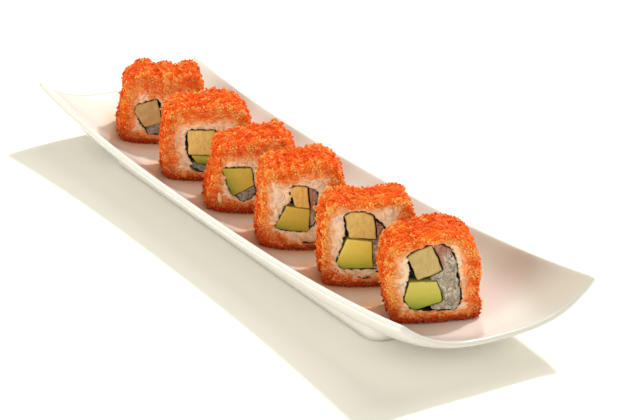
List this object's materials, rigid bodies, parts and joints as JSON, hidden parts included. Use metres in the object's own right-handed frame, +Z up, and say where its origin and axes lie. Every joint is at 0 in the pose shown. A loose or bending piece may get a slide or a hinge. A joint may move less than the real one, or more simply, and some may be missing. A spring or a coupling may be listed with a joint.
{
  "type": "uramaki roll platter",
  "caption": "Roe-coated inside-out sushi slices with egg, avocado and crab, set in a row on a long boat-shaped white porcelain plate.",
  "frame": {"origin": "on the table under the middle of the plate", "axes": "+X along the plate, towards the end that the slices' clearest cut face looks at; +Y across the plate; +Z up"},
  "size_m": [0.3998, 0.1086, 0.0535],
  "materials": {
    "porcelain": "glossy warm white glaze",
    "roe": "wet, glossy orange grains",
    "rice": "moist, slightly translucent cooked rice",
    "nori": "dark, crinkled dried seaweed",
    "egg": "soft layered omelette",
    "avocado": "smooth, slightly oily flesh, greener at its skin side",
    "crab": "moist fibrous white meat with a pink edge"
  },
  "bodies": {
    "root": {"plate": "porcelain", "roe_1": "roe", "rice_1": "rice", "nori_1": "nori", "egg_1": "egg", "crab_1": "crab", "roe_2": "roe", "rice_2": "rice", "nori_2": "nori", "egg_2": "egg", "avocado_2": "avocado", "crab_2": "crab", "roe_3": "roe", "rice_3": "rice", "nori_3": "nori", "avocado_3": "avocado", "crab_3": "crab", "roe_4": "roe", "rice_4": "rice", "nori_4": "nori", "egg_4": "egg", "avocado_4": "avocado", "crab_4": "crab", "roe_5": "roe", "rice_5": "rice", "nori_5": "nori", "egg_5": "egg", "avocado_5": "avocado", "crab_5": "crab", "roe_6": "roe", "rice_6": "rice", "nori_6": "nori", "egg_6": "egg", "avocado_6": "avocado", "crab_6": "crab"}
  },
  "joints": []
}
